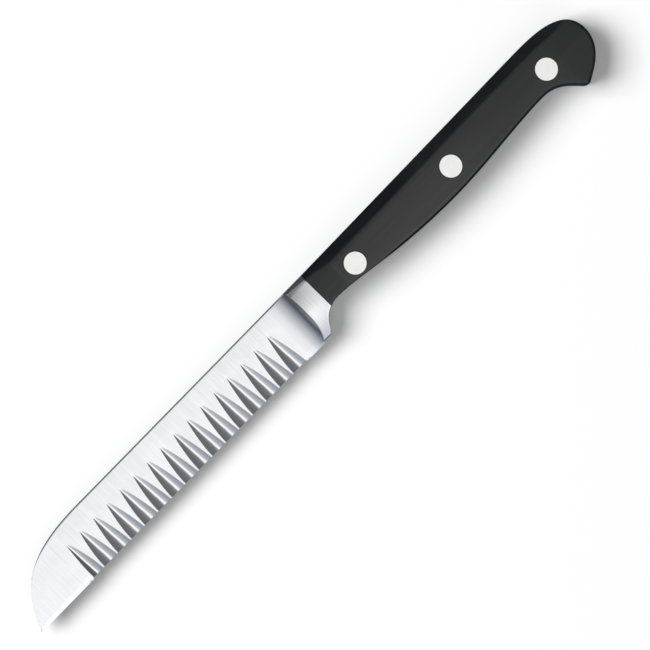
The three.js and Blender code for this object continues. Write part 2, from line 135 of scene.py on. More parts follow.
class FluteSizes(bpy.types.PropertyGroup):
    pitch: length("Pitch", "Distance from one flute to the next", 5.23)
    plain_tip: length("Plain tip", "Least length of plain edge at the tip", 19)
    plain_heel: length("Plain heel", "Length of plain edge at the heel", 7.1)
    top_near_tip: length("Top near tip", "Depth below the spine at which the first flute starts", 5.4)
    top_near_heel: length("Top near heel", "Depth below the spine at which the last flute starts", 4.6)
    floor_at_top: length("Floor at top", "Width of a flute's flat floor at its top", 0.2)
    floor_at_edge: length("Floor at edge", "Width of a flute's flat floor at the edge", 0.5)
    edge_land: length("Land at edge", "Width that is left between two flutes at the edge", 0.48)
    edge_setback: length("Setback", "How far the fluted edge stands back from the plain edge", 0.4)
    edge_web: length("Web at edge", "Thickness that is left at the fluted edge", 0.06)
    hollow_power: ratio("Hollow power", "How hollow the walls of a flute are; 1 is flat", 1.35, 1)
    sink_power: ratio("Sink power", "How early a flute sinks to its full depth; 1 is evenly", 1.55, 1)
    lean: length("Lean", "How much nearer the tip a flute's top is than its end at the edge", 0.6)
    wall_bias: length("Wall bias", "How much wider a flute's tip-side wall is than the mean of both", 0.3)
    heel_fan: ratio("Heel fan", "How early a heel-side wall gets its full width; 1 is evenly", 0.67, 0.1)
    first_wall: share("First wall", "Width of the first flute's tip-side wall as a share of the others", 0.55)
    edge_gap: length("Edge gap", "Length of the step between the plain tip and the first flute", 0.12)


class BolsterSizes(bpy.types.PropertyGroup):
    length: length("Length", "From the heel to the handle", 8)
    face_length: length("Face", "Length of its flat face along the spine", 6)
    front_thickness: length("Front thickness", "Thickness at the front of its face", 8.1)
    fillet_length: length("Fillet", "Length of the hollow that leads from the blade up to its face", 8.6)
    fillet_ramp: share("Fillet ramp", "Share of the hollow's rise that is a long gentle ramp", 0.26)
    crown_gain: ratio("Crown gain", "How much rounder the front of its face is than the handle's", 3.0)
    heel_fall: length("Heel fall", "How far its face falls away at the heel", 1.7)
    heel_fall_height: length("Heel fall height", "Height above the heel at which it starts to fall", 9)
    heel_lift: length("Heel lift", "How far its underside stands above the plain edge", 0.5)
    guard_length: length("Guard", "From the joint to the front end of the finger guard's curve", 5.1)
    guard_heel_pull: length("Guard heel pull", "How far the curve keeps to its direction at the heel", 3.76)
    guard_angle: angle("Guard angle", "Angle of the curve at the heel", 66)
    guard_waist_pull: length("Guard waist pull", "How far the curve keeps level at the waist", 3.2)
    guard_rim: length("Guard rim", "Radius of the rounding along the finger guard", 0.4)
    crease: length("Crease", "Width of the soft edge between fillet and face", 0.16)


class HandleSizes(bpy.types.PropertyGroup):
    length: length("Length", "From the joint to the butt", 101.8)
    spine_rise: length("Spine rise", "How far the spine rises towards the butt", 0.79)
    waist_x: length("Waist place", "Distance of the waist from the joint", 2.8)
    waist_depth: length("Waist depth", "Depth of the handle at the waist", 11.13)
    waist_pull: length("Waist pull", "How far the belly's curve keeps level at the waist", 9.2)
    belly_x: length("Belly place", "Distance of the deepest belly from the joint", 45.8)
    belly_depth: length("Belly depth", "Depth of the handle at the belly", 15)
    belly_front_pull: length("Belly front pull", "How far the curve keeps level before the belly", 23.6)
    belly_rear_pull: length("Belly rear pull", "How far the curve keeps level behind the belly", 11.2)
    neck_from_butt: length("Neck place", "Distance of the neck from the butt", 21.3)
    neck_depth: length("Neck depth", "Depth of the handle at the neck", 13.1)
    neck_front_pull: length("Neck front pull", "How far the curve keeps level before the neck", 9.6)
    neck_rear_pull: length("Neck rear pull", "How far the curve keeps level behind the neck", 5.5)
    beak_from_butt: length("Beak place", "Distance of the beak from the butt", 10.2)
    beak_depth: length("Beak depth", "Depth of the beak's corner before it is rounded", 19.85)
    beak_round: length("Beak rounding", "How far the rounding reaches from the beak's corner", 1.4)
    beak_front_angle: angle("Beak front angle", "Slope of the beak towards the neck", 45)
    beak_front_pull: length("Beak front pull", "How far the beak's front side keeps straight", 3.3)
    beak_rear_angle: angle("Beak rear angle", "Slope of the beak towards the butt", 30)
    beak_rear_pull: length("Beak rear pull", "How far the beak's rear side keeps straight", 3.2)
    crown_length: length("Butt crown", "Length over which the spine bends down to the butt", 19.1)
    crown_pull: length("Crown pull", "How far the crown keeps to the spine", 8)
    butt_depth: length("Butt depth", "Depth at which the butt is upright", 8)
    butt_pull: length("Butt pull", "How far the butt keeps upright below that", 6.75)
    thickness: length("Thickness", "Thickness over both scales", 12)
    tang_thickness: length("Tang thickness", "Thickness of the tang between the scales", 3)
    chamfer_depth: length("Chamfer depth", "Width of the long chamfer, seen from the side", 3.1)
    spine_flat: length("Spine flat", "Width of the spine between the two chamfers", 5.4)
    chamfer_droop: length("Chamfer droop", "How far the chamfer follows the crown down at the butt", 1.15)
    chamfer_end: length("Chamfer end", "Distance of the chamfer's end from the butt", 2.9)
    joint_thickness: length("Joint thickness", "Thickness where the scales meet the bolster", 8.9)
    joint_ramp: length("Joint ramp", "Length of the slope from the joint up to the flat face", 7.75)
    butt_fall: length("Butt fall", "How far each face falls towards the butt", 0.8)
    butt_ramp: length("Butt ramp", "Length over which it falls", 11)
    front_round: length("Front rounding", "Width of the rounding along the belly near the joint", 0.3)
    front_round_end: length("Front rounding end", "Distance from the joint at which it starts to widen", 17)
    edge_round: length("Edge rounding", "Width of the rounding along belly and butt", 0.85)
    edge_round_start: length("Edge rounding start", "Distance from the joint at which it has that width", 26)
    edge_steepness: ratio("Edge steepness", "Height of that rounding for each unit of its width", 2.0, 0.1)
    spine_round: length("Spine rounding", "Radius of the rounding along the spine", 0.22)
    spine_round_end: length("Spine rounding end", "Distance from the butt at which it starts to widen", 9)
    butt_round_start: length("Butt rounding start", "Distance from the butt at which it is fully wide", 2)
    face_crown: length("Face crown", "How far each face falls off at a crown's half width", 0.12)
    crown_half_width: length("Crown half width", "Distance from the face's middle at which it is measured", 7)
    crown_middle: length("Crown middle", "Depth of the middle of the face", 8)
    crease: length("Crease", "Width of the soft edge between chamfer and face", 0.3)
    clearance: length("Clearance", "Gap between each scale and the steel", 0.05)


class RivetSizes(bpy.types.PropertyGroup):
    head_diameter: length("Head diameter", "Diameter of each head", 6.35)
    head_thickness: length("Head thickness", "Thickness of each head", 1.6)
    tube_diameter: length("Tube diameter", "Outer diameter of the hollow half", 4.2)
    pin_diameter: length("Pin diameter", "Diameter of the solid half's pin", 3)
    end_gap: length("End gap", "Room that is left at the end of pin and tube", 0.5)
    front_x: length("Front rivet", "Distance of the front rivet from the joint", 12.8)
    rear_from_butt: length("Rear rivet", "Distance of the rear rivet from the butt", 15.4)
    line_drop: length("Line drop", "How much nearer the belly the rear rivet is than the front one", 0.3)
    belly_margin: length("Belly margin", "Distance of the front head from the belly", 0.8)
    head_ease: length("Head rounding", "Radius of the rounding on the rim of each head", 0.12)
    head_sink: length("Head sink", "How far each head lies below the handle's full thickness", 0.01567)
    pocket_lip: length("Pocket lip", "Width of the broken edge round each head's pocket", 0.05)
    clearance: length("Clearance", "Gap round each head and pin", 0.05)


class KnifeColours(bpy.types.PropertyGroup):
    steel: colour("Steel", "Colour of the ground steel", 0.815, 0.82, 0.835)
    steel_shade: colour("Steel shade", "Colour of the steel between its grinding lines", 0.725, 0.73, 0.75)
    # Painted shade: the fillet's hollow gets this set steel colour, tuned to how that hollow looks in the
    # light; the steel there is no less polished.
    hollow: colour("Hollow", "Colour of the less polished steel in the fillet", 0.78, 0.79, 0.82)
    plastic: colour("Plastic", "Colour of the scales", 0.002, 0.002, 0.0021)
    plastic_bloom: colour("Plastic bloom", "Colour of the scales where they are rubbed", 0.008, 0.008, 0.008)
    rivet: colour("Rivet", "Colour of the rivets", 0.92, 0.92, 0.91)
    rivet_shade: colour("Rivet shade", "Colour of the rivets between their grinding lines", 0.86, 0.86, 0.85)


class StageSettings(bpy.types.PropertyGroup):
    view_width: length("View width", "Width of the view at the blade", 176.15)
    view_x: signed_length("View x", "Middle of the view along the knife", 3.24)
    view_y: signed_length("View y", "Middle of the view across the knife", -4.72)
    view_turn: angle("View turn", "How far the camera is turned about its own axis", 45.62)
    lens: bpy.props.FloatProperty(
        name="Lens", description="Focal length in millimetres", default=400.0, min=1, unit="CAMERA"
    )
    floor_width: length("Floor width", "Width of the floor", 6000)
    floor: colour("Floor", "Colour of the floor", 0.98, 0.98, 0.98)
    floor_lift: share("Floor lift", "How far the floor is blended to white where the camera sees it", 0.15)
    floor_gap: length("Floor gap", "Room between the floor and the knife", 0.1)
    dim_light: ratio("Dim light", "Brightness all round", 0.078)
    ceiling_light: ratio("Ceiling light", "Brightness that is added overhead", 0.075)
    window_light: ratio("Window light", "Brightness of the window overhead", 1.285)
    wall_light: ratio("Wall light", "Brightness of the wall beside the window", 0.06)
    table_light: ratio("Table light", "Brightness low down on the edge side", 0.15)
    corner_cards: ratio("Corner cards", "Brightness of the pale cards in the four corners", 0.55)
    spine_card: ratio("Spine card", "Brightness of the pale card on the spine side", 0.26)
    matt_share: share("Matt share", "Share of the light all round that reaches matt surfaces", 0.45)
    lamp_width: length("Lamp width", "Width of the soft box", 2500)
    lamp_power: ratio("Lamp power", "Power of the soft box in watts", 192.0)


def lerp(a, b, part):
    return a + (b - a) * part


def smooth_step(low, high, value):
    part = min(1.0, max(0.0, (value - low) / (high - low)))
    return part * part * (3 - 2 * part)


def soft_min(a, b, width):
    """The lower of two heights, with the corner between them rounded."""
    near = max(width - abs(a - b), 0) / width
    return min(a, b) - near * near * width / 4


def rounding(part):
    """How far a quarter round has dropped, as a share of its radius, at a share of it in from the edge."""
    return 1 - math.sqrt(max(0.0, 1 - (1 - part) ** 2))


def polar(place, distance, turn):
    return (place[0] + distance * math.cos(turn), place[1] + distance * math.sin(turn))


def bezier(places, steps):
    """Points along a curve with any number of control places, both ends included."""
    points = []
    for step in range(steps + 1):
        level = places
        while len(level) > 1:
            level = [
                tuple(lerp(a, b, step / steps) for a, b in zip(first, second))
                for first, second in zip(level, level[1:])
            ]
        points.append(level[0])
    return points


def value_at(line, x):
    """The second coordinate of a line at an x; the line runs one way along x."""
    for (x0, y0), (x1, y1) in zip(line, line[1:]):
        if x0 != x1 and min(x0, x1) <= x <= max(x0, x1):
            return lerp(y0, y1, (x - x0) / (x1 - x0))
    raise ValueError(f"The line has no point at x = {x}")


def clipped(line, x):
    """The points of a line beyond an x."""
    return [spot for spot in line if spot[0] > x + SAME_POINT]


FACE_FALL_LIMIT = 1.4


class Plan:
    """The knife's sizes, with the outlines and places that several pieces share."""

    def __init__(self, scene):
        self.blade = scene.knife_blade
        self.flute = scene.knife_flute
        self.bolster = scene.knife_bolster
        self.handle = scene.knife_handle
        self.rivet = scene.knife_rivet
        blade, flute, bolster, handle = self.blade, self.flute, self.bolster, self.handle
        self.tip_x = -(bolster.length + blade.length)
        self.heel_x = -bolster.length
        self.heel_depth = blade.depth - bolster.heel_lift
        self.tang_half = handle.tang_thickness / 2
        self.handle_half = handle.thickness / 2
        self.joint_half = handle.joint_thickness / 2
        self.crown_x = handle.length - handle.crown_length
        self.spine_slope = handle.spine_rise / self.crown_x
        room = blade.length - flute.plain_tip - flute.plain_heel
        self.flute_count = math.floor(room / flute.pitch)
        self.fluted_heel_x = self.heel_x - flute.plain_heel
        self.flute_run = (flute.pitch - flute.edge_land - flute.floor_at_edge) / 2
        middle = (flute.edge_land + flute.floor_at_edge) / 2
        self.flute_heel_reach = middle + self.flute_run - flute.wall_bias
        last_flute_x = self.fluted_heel_x - self.flute_heel_reach
        self.first_flute_x = last_flute_x - (self.flute_count - 1) * flute.pitch
        first_wall = (self.flute_run + flute.wall_bias) * flute.first_wall
        self.fluted_tip_x = self.first_flute_x - middle - first_wall
        self.fluted_edge = blade.depth - flute.edge_setback
        middle_z = (CAD_LOW.z + CAD_HIGH.z) / 2
        self.joint = Vector((CAD_LOW.x - self.tip_x, CAD_HIGH.y - handle.spine_rise, middle_z))
        self.trace_outlines()

    def trace_outlines(self):
        blade, bolster, handle = self.blade, self.bolster, self.handle
        tip = (self.tip_x, -blade.depth)
        curve_x = self.tip_x + blade.tip_curve
        self.tip_line = bezier([tip, polar(tip, blade.tip_point_pull, blade.tip_angle),
                                (curve_x - blade.tip_spine_pull, 0), (curve_x, 0)], steps=48)
        butt_x = handle.length
        neck_x = butt_x - handle.neck_from_butt
        beak = (butt_x - handle.beak_from_butt, -handle.beak_depth)
        front = math.pi - handle.beak_front_angle
        rear = handle.beak_rear_angle
        rear_end = polar(beak, handle.beak_round, rear)
        front_end = polar(beak, handle.beak_round, front)
        butt = (butt_x, -handle.butt_depth)
        neck = (neck_x, -handle.neck_depth)
        belly = (handle.belly_x, -handle.belly_depth)
        waist = (handle.waist_x, -handle.waist_depth)
        heel = (-bolster.guard_length, -self.heel_depth)
        spine_end = (self.crown_x, handle.spine_rise)
        spine = bezier([(0, 0), spine_end], steps=30)
        crown = bezier([spine_end, (self.crown_x + handle.crown_pull, handle.spine_rise),
                        (butt_x, handle.spine_rise), butt], steps=30)
        butt_low = bezier([butt, (butt_x, -handle.butt_depth - handle.butt_pull),
                           polar(beak, handle.beak_round + handle.beak_rear_pull, rear), rear_end], steps=26)
        beak_line = bezier([rear_end, beak, front_end], steps=10)
        hook = bezier([front_end, polar(beak, handle.beak_round + handle.beak_front_pull, front),
                       (neck_x + handle.neck_rear_pull, neck[1]), neck], steps=22)
        rear_belly = bezier([neck, (neck_x - handle.neck_front_pull, neck[1]),
                             (belly[0] + handle.belly_rear_pull, belly[1]), belly], steps=24)
        front_belly = bezier([belly, (belly[0] - handle.belly_front_pull, belly[1]),
                              (waist[0] + handle.waist_pull, waist[1]), waist], steps=30)
        guard = bezier([waist, (waist[0] - bolster.guard_waist_pull, waist[1]),
                        polar(heel, bolster.guard_heel_pull, bolster.guard_angle), heel], steps=28)
        self.upper_line = spine + crown[1:]
        self.belly_line = hook + rear_belly[1:] + front_belly[1:] + guard[1:]
        self.lower_line = butt_low + beak_line[1:] + self.belly_line[1:]
        self.guard_line = guard + [(self.heel_x, -self.heel_depth)]

    def handle_outline(self, x):
        """The outline from the spine at an x near the joint, round the butt, to the belly at that x."""
        upper = [(x, value_at(self.upper_line, x))] + clipped(self.upper_line, x)
        lower = clipped(self.lower_line[1:], x) + [(x, value_at(self.belly_line, x))]
        return upper + lower

    def rivet_places(self):
        """The name and the middle of each rivet; they stand on one line along the handle."""
        rivet = self.rivet
        rear_x = self.handle.length - rivet.rear_from_butt
        y = value_at(self.belly_line, rivet.front_x) + rivet.head_diameter / 2 + rivet.belly_margin
        places = {}
        for i, name in enumerate(("front", "middle", "rear")):
            places[name] = (lerp(rivet.front_x, rear_x, i / 2), y - rivet.line_drop * i / 2)
        return places

    def face_fall(self, depth):
        """How far the slightly rounded side of bolster and handle has fallen at a depth."""
        handle = self.handle
        part = (depth - handle.crown_middle) / handle.crown_half_width
        return handle.face_crown * min(part * part, FACE_FALL_LIMIT)

    def chamfer_height(self, x, depth):
        """Height of the long chamfer between spine and side."""
        handle = self.handle
        end_x = handle.length - handle.chamfer_end
        droop = handle.chamfer_droop * smooth_step(self.crown_x, end_x, x) ** 2
        below_spine = depth + x * self.spine_slope - droop
        rise = self.handle_half - handle.spine_flat / 2
        return handle.spine_flat / 2 + below_spine * rise / handle.chamfer_depth


FILL_INSIDE = 1


class Skin:
    """The faces of one closed piece, collected before they become a mesh."""

    def __init__(self):
        self.points = []
        self.faces = []
        self.known = {}

    def corner(self, place):
        key = tuple(round(value / SAME_POINT) for value in place)
        if key not in self.known:
            self.known[key] = len(self.points)
            self.points.append(place)
        return self.known[key]

    def face(self, places):
        ring = [self.corner(place) for place in places]
        ring = [point for i, point in enumerate(ring) if point != ring[i - 1]]
        if len(set(ring)) > 2:
            self.faces.append(ring)

    def strip(self, first, second):
        """Faces between two rows of equally many points."""
        for i in range(len(first) - 1):
            self.face((first[i], first[i + 1], second[i + 1], second[i]))

    def net(self, rows):
        for first, second in zip(rows, rows[1:]):
            self.strip(first, second)

    def tube(self, rings):
        self.net([ring + ring[:1] for ring in rings])

    def join_rows(self, first, second):
        """Faces between two rows that both run towards the butt, each with its own points."""
        i = j = 0
        while i + 1 < len(first) or j + 1 < len(second):
            next_first = first[i + 1][0] if i + 1 < len(first) else math.inf
            next_second = second[j + 1][0] if j + 1 < len(second) else math.inf
            if abs(next_first - next_second) < SAME_POINT:
                self.face((first[i], first[i + 1], second[j + 1], second[j]))
                i, j = i + 1, j + 1
            elif next_first < next_second:
                self.face((first[i], first[i + 1], second[j]))
                i += 1
            else:
                self.face((first[i], second[j + 1], second[j]))
                j += 1

    def patch(self, loop, holes, height, lines=(), dots=()):
        """Fills a loop of [x, y] places with triangles, but leaves out its round holes."""
        places = []
        edges = []
        closed = [loop, *(hole for _, _, hole in holes)]
        for index, chain in enumerate([*closed, *lines]):
            start = len(places)
            places.extend(chain)
            edges.extend((start + i, start + i + 1) for i in range(len(chain) - 1))
            if index < len(closed):
                edges.append((len(places) - 1, start))
        given = [Vector(place) for place in (*places, *dots)]
        made, _, triangles, *_ = delaunay_2d_cdt(given, edges, [], FILL_INSIDE, SAME_POINT)
        for triangle in triangles:
            corners = [made[index] for index in triangle]
            middle = sum(corners, Vector((0, 0))) / 3
            if all((middle - Vector(centre)).length > radius for centre, radius, _ in holes):
                self.face([(x, y, height(x, y)) for x, y in corners])

    def mirrored(self):
        """The same piece on the other side of the middle plane."""
        other = Skin()
        other.points = [(x, y, -z) for x, y, z in self.points]
        other.faces = self.faces
        return other

    def build(self, name, plan, material, crease_angle=math.radians(32)):
        """Makes the mesh, checks that it is closed, and lets it stand for its solid of the same name."""
        shape = bmesh.new()
        corners = [shape.verts.new(plan.joint + Vector(place)) for place in self.points]
        for ring in self.faces:
            shape.faces.new([corners[point] for point in ring])
        bmesh.ops.remove_doubles(shape, verts=shape.verts, dist=WELD_DISTANCE)
        bmesh.ops.recalc_face_normals(shape, faces=shape.faces)
        loose = [edge for edge in shape.edges if not edge.is_manifold]
        if loose:
            spot = loose[0].verts[0].co
            raise RuntimeError(f"{name} is not closed: {len(loose)} open edges, one at {spot}")
        for face in shape.faces:
            face.smooth = True
        for edge in shape.edges:
            edge.smooth = edge.calc_face_angle() < crease_angle
        mesh = bpy.data.meshes.new(name)
        shape.to_mesh(mesh)
        shape.free()
        mesh.materials.append(material)
        piece = bpy.data.objects.new(f"{name}_finish", mesh)
        bpy.context.scene.collection.objects.link(piece)
        weighted = piece.modifiers.new("Even shading", "WEIGHTED_NORMAL")
        weighted.keep_sharp = True
        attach(piece, "root")
        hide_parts(name)
        return piece


class Wire:
    """A node's output in an expression: each operator adds the node that works it out."""

    def __init__(self, sheet, socket):
        self.sheet = sheet
        self.socket = socket

    def math(self, operation, *terms):
        return self.sheet.node("ShaderNodeMath", {"operation": operation}, dict(enumerate(terms)))

    def __add__(self, other):
        return self.math("ADD", self, other)

    __radd__ = __add__

    def __sub__(self, other):
        return self.math("SUBTRACT", self, other)

    def __rsub__(self, other):
        return self.math("SUBTRACT", other, self)

    def __mul__(self, other):
        return self.math("MULTIPLY", self, other)

    __rmul__ = __mul__

    def __neg__(self):
        return self.math("MULTIPLY", self, -1.0)

    def at_most(self, other):
        return self.math("MINIMUM", self, other)

    def at_least(self, other):
        return self.math("MAXIMUM", self, other)

    def step(self, low, high):
        """0 below one value, 1 above another and a smooth slope between them."""
        sockets = {"Value": self, "From Min": low, "From Max": high}
        return self.sheet.node("ShaderNodeMapRange", {"interpolation_type": "SMOOTHSTEP"}, sockets)


GRAIN_ROUGHNESS = 0.55
RELIEF_STRENGTH = 0.5


class NodeSheet:
    """The nodes of one material or of the world."""

    def __init__(self, tree):
        self.tree = tree
        self.tree.nodes.clear()

    def node(self, kind, settings=None, sockets=None, output=0):
        """Adds a node: first its settings, then a value or a wire for each named or numbered socket."""
        node = self.tree.nodes.new(kind)
        for name, value in (settings or {}).items():
            setattr(node, name, value)
        for name, value in (sockets or {}).items():
            if isinstance(value, Wire):
                self.tree.links.new(value.socket, node.inputs[name])
            else:
                node.inputs[name].default_value = value
        return Wire(self, node.outputs[output]) if node.outputs else None

    def axes(self, wire):
        split = self.node("ShaderNodeSeparateXYZ", None, {0: wire}).socket.node
        return [Wire(self, socket) for socket in split.outputs]

    def place(self):
        return self.node("ShaderNodeTexCoord", None, None, "Object")

    def grain(self, place, scale, detail):
        """Noise with about one feature to each unit of a place multiplied by a scale on each axis."""
        stretched = self.node("ShaderNodeVectorMath", {"operation": "MULTIPLY"}, {0: place, 1: scale})
        sockets = {"Vector": stretched, "Scale": 1.0, "Detail": detail, "Roughness": GRAIN_ROUGHNESS}
        return self.node("ShaderNodeTexNoise", {"noise_dimensions": "3D"}, sockets, "Fac")

    def blend(self, factor, first, second):
        """A colour between two others."""
        colours = [value if isinstance(value, Wire) else (*value, 1.0) for value in (first, second)]
        sockets = {0: factor, 6: colours[0], 7: colours[1]}
        return self.node("ShaderNodeMix", {"data_type": "RGBA"}, sockets, 2)

    def relief(self, height, distance):
        """A normal that follows a height; the distance is that of a height of 1."""
        sockets = {"Height": height, "Distance": distance, "Strength": RELIEF_STRENGTH}
        return self.node("ShaderNodeBump", None, sockets)

    def seen(self):
        """1 for the rays that show the background: from the camera, off gloss and through glass."""
        path = self.node("ShaderNodeLightPath").socket.node
        kinds = ("Is Camera Ray", "Is Glossy Ray", "Is Transmission Ray")
        camera, gloss, glass = (Wire(self, path.outputs[kind]) for kind in kinds)
        return (camera + gloss + glass).at_most(1.0)

    def finish(self, kind, shader):
        self.node(kind, None, {"Surface": shader})

    def surface(self, sockets):
        """Ends a material in one shader with these values."""
        self.finish("ShaderNodeOutputMaterial", self.node("ShaderNodeBsdfPrincipled", None, sockets))


METAL_RELIEF = 2.0e-6
PLASTIC_RELIEF = 3.0e-6
PLASTIC_SPECULAR = 0.75
# Painted shade in the fillet: full from this far before the bolster's face, gone this far past it.
FILLET_SHADE_FROM, FILLET_SHADE_END = 1 * MM, 0.3 * MM
MATT_FROM, MATT_FULL = 35 * MM, 90 * MM


def new_finish(name):
    material = bpy.data.materials.new(name)
    material.use_nodes = True
    return material, NodeSheet(material.node_tree)


def steel_finish(plan, colours):
    """Satin steel: fine grinding lines across the blade, and painted shade in the fillet's hollow, which gets
    an even steel colour of its own.
    """
    material, sheet = new_finish("ground_steel")
    place = sheet.place()
    along = sheet.axes(place)[0] - plan.joint.x
    lines = sheet.grain(place, (5200.0, 90.0, 900.0), 3.0)
    scratches = sheet.grain(place, (2300.0, 60.0, 600.0), 2.0)
    streaks = sheet.grain(place, (900.0, 45.0, 300.0), 2.0)
    clouds = sheet.grain(place, (120.0, 160.0, 160.0), 2.0)
    face_x = -plan.bolster.face_length
    # Painted shade: the fillet's hollow is blended to its own steel colour, rising along the fillet and gone
    # just past the bolster's face.
    sinking = along.step(face_x - plan.bolster.fillet_length, face_x - FILLET_SHADE_FROM)
    hollow = sinking * (1 - along.step(face_x, face_x + FILLET_SHADE_END))
    brushed = (0.35 * streaks + 0.65 * scratches).step(0.25, 0.75)
    ground = sheet.blend(0.4 * lines + 0.6 * brushed, colours.steel_shade, colours.steel)
    sheet.surface({
        "Base Color": sheet.blend(hollow, ground, colours.hollow),
        "Metallic": 1.0,
        "Roughness": 0.16 + 0.10 * lines + 0.06 * clouds,
        "Normal": sheet.relief(lines + 0.5 * streaks, METAL_RELIEF),
    })
    return material


def plastic_finish(plan, colours):
    """Satin moulded plastic: a fine grain, rubbed a little along the face, and more matt at the butt."""
    material, sheet = new_finish("black_plastic")
    place = sheet.place()
    along = sheet.axes(place)[0] - plan.joint.x
    grain = sheet.grain(place, (4200.0, 4200.0, 4200.0), 2.0)
    rubbed = sheet.grain(place, (60.0, 700.0, 300.0), 3.0)
    clouds = sheet.grain(place, (70.0, 110.0, 110.0), 2.0)
    bloom = (0.7 * rubbed + 0.5 * clouds).step(0.45, 0.85)
    sheet.surface({
        "Base Color": sheet.blend(bloom, colours.plastic, colours.plastic_bloom),
        "Roughness": 0.25 + 0.10 * grain + 0.06 * clouds + 0.12 * along.step(MATT_FROM, MATT_FULL),
        "Specular IOR Level": PLASTIC_SPECULAR,
        "Normal": sheet.relief(grain + 0.4 * rubbed, PLASTIC_RELIEF),
    })
    return material


def rivet_finish(colours):
    """Bright rivet metal, ground flush along the handle."""
    material, sheet = new_finish("rivet_metal")
    place = sheet.place()
    lines = sheet.grain(place, (160.0, 6500.0, 900.0), 3.0)
    clouds = sheet.grain(place, (420.0, 420.0, 420.0), 2.0)
    sheet.surface({
        "Base Color": sheet.blend(0.6 * lines + 0.4 * clouds, colours.rivet_shade, colours.rivet),
        "Metallic": 1.0,
        "Roughness": 0.15 + 0.10 * lines + 0.08 * clouds,
        "Normal": sheet.relief(lines, METAL_RELIEF),
    })
    return material


ZONES = (
    (0.2, 0.4, 0.6, 0.8, 1.0),
    (0.04, 0.35, 0.68, 1.0),
    (0.11, 0.22, 0.33, 0.44, 0.55, 0.66, 0.77, 0.89, 1.0),
    (0.34, 0.67, 1.0),
)


def column_depths(marks):
    """Depths down one column of the blade: spine rounding, plain strip, flute or side, and edge."""
    depths = [marks[0]]
    for parts, low, high in zip(ZONES, marks, marks[1:]):
        depths.extend(lerp(low, high, part) for part in parts)
    return depths


def blade_half(plan, x, depth):
    """Half the thickness of the ground blade before it is fluted."""
    blade = plan.blade
    half = lerp(blade.spine_thickness, blade.edge_stock, (depth / blade.depth) ** blade.fullness) / 2
    part = max(0.0, (plan.tip_x + blade.tip_taper - x) / blade.tip_taper)
    return half - (blade.edge_stock - blade.tip_thickness) / 2 * part * part


def spine_depth(plan, x):
    return -value_at(plan.tip_line, x) if x < plan.tip_line[-1][0] else 0.0


SLOPE_REACH = 0.05 * MM
STEEPEST = 3.0


def spine_slope_factor(plan, x):
    """How much longer the spine's rounding is straight down than it is square to the spine."""
    if x >= plan.tip_line[-1][0]:
        return 1.0
    left = max(plan.tip_x, x - SLOPE_REACH)
    slope = (spine_depth(plan, left) - spine_depth(plan, x)) / (x - left)
    return min(STEEPEST, math.sqrt(1 + slope * slope))


def spine_ease(plan, x):
    """Radius of the rounding along the spine, which dies away towards the tip."""
    blade = plan.blade
    return blade.spine_ease * smooth_step(plan.tip_x + blade.sharp_point, plan.tip_x + blade.full_ease, x)


def sharpening(plan, x):
    """Share of the plain edge's bevel at an x; it runs out beside the flutes."""
    stop = plan.blade.bevel_stop
    distance = max(plan.fluted_tip_x - x, x - plan.fluted_heel_x)
    return smooth_step(stop, stop + plan.blade.bevel_run_out, distance)


EASE_LIMIT = 0.25
BEVEL_LIMIT = 0.3
PLAIN_STRIP = 0.35


def plain_marks(plan, x, top, bevel, edge):
    """Depths between the zones of a column; without a top, the plain strip ends at a share of the height."""
    spine = spine_depth(plan, x)
    height = edge - spine
    ease = spine + min(spine_ease(plan, x) * spine_slope_factor(plan, x), EASE_LIMIT * height)
    bevel = max(bevel, edge - BEVEL_LIMIT * height)
    return [spine, ease, lerp(ease, bevel, PLAIN_STRIP) if top is None else top, bevel, edge]


def side_half(plan, x, depth, marks):
    """Half the thickness of the blade with the rounding along the spine taken off."""
    half = blade_half(plan, x, depth)
    if depth >= marks[1] or marks[1] == marks[0]:
        return half
    ease = min(spine_ease(plan, x), half / 2)
    return half - ease * rounding((depth - marks[0]) / (marks[1] - marks[0]))


def plain_column(plan, x_at, marks):
    """A column of the blade where its edge is plain."""
    points = []
    for depth in column_depths(marks):
        x = x_at(depth)
        half = side_half(plan, x, depth, marks)
        if depth > marks[3]:
            part = (depth - marks[3]) / (marks[4] - marks[3])
            half = lerp(half, plan.blade.edge_thickness / 2, part * sharpening(plan, x))
        points.append((x, -depth, half))
    return points


RUN_OUT_ROOM = 1.4
RUN_OUT_PARTS = (1.2, 1.0, 0.8, 0.6, 0.4, 0.2, 0.0)


def tip_columns(plan):
    """Columns from the tip to the first flute; the first one is the tip itself."""
    blade = plan.blade
    last_x = plan.fluted_tip_x - plan.flute.edge_gap
    places = [x for x, _ in plan.tip_line if x < last_x - RUN_OUT_ROOM * blade.bevel_run_out]
    places.extend(last_x - blade.bevel_run_out * part for part in RUN_OUT_PARTS)
    columns = []
    for x in places[1:]:
        marks = plain_marks(plan, x, None, blade.depth - blade.edge_bevel, blade.depth)
        columns.append(plain_column(plan, lambda depth: x, marks))
    tip = (plan.tip_x, -blade.depth, blade.edge_thickness / 2)
    return [[tip] * len(columns[0])] + columns


def flute_top(plan, x):
    flute = plan.flute
    part = (plan.fluted_heel_x - x) / (plan.fluted_heel_x - plan.fluted_tip_x)
    return lerp(flute.top_near_heel, flute.top_near_tip, part)


LOWEST_ZONE = 0.9
FLOOR_PART = 0.6
WALL_PARTS = (0.0, 0.15, 0.35, 0.6, 0.8, 0.94)
CREASE_PART = 0.06


def fluted_marks(plan, x, top):
    return plain_marks(plan, x, top, lerp(top, plan.fluted_edge, LOWEST_ZONE), plan.fluted_edge)


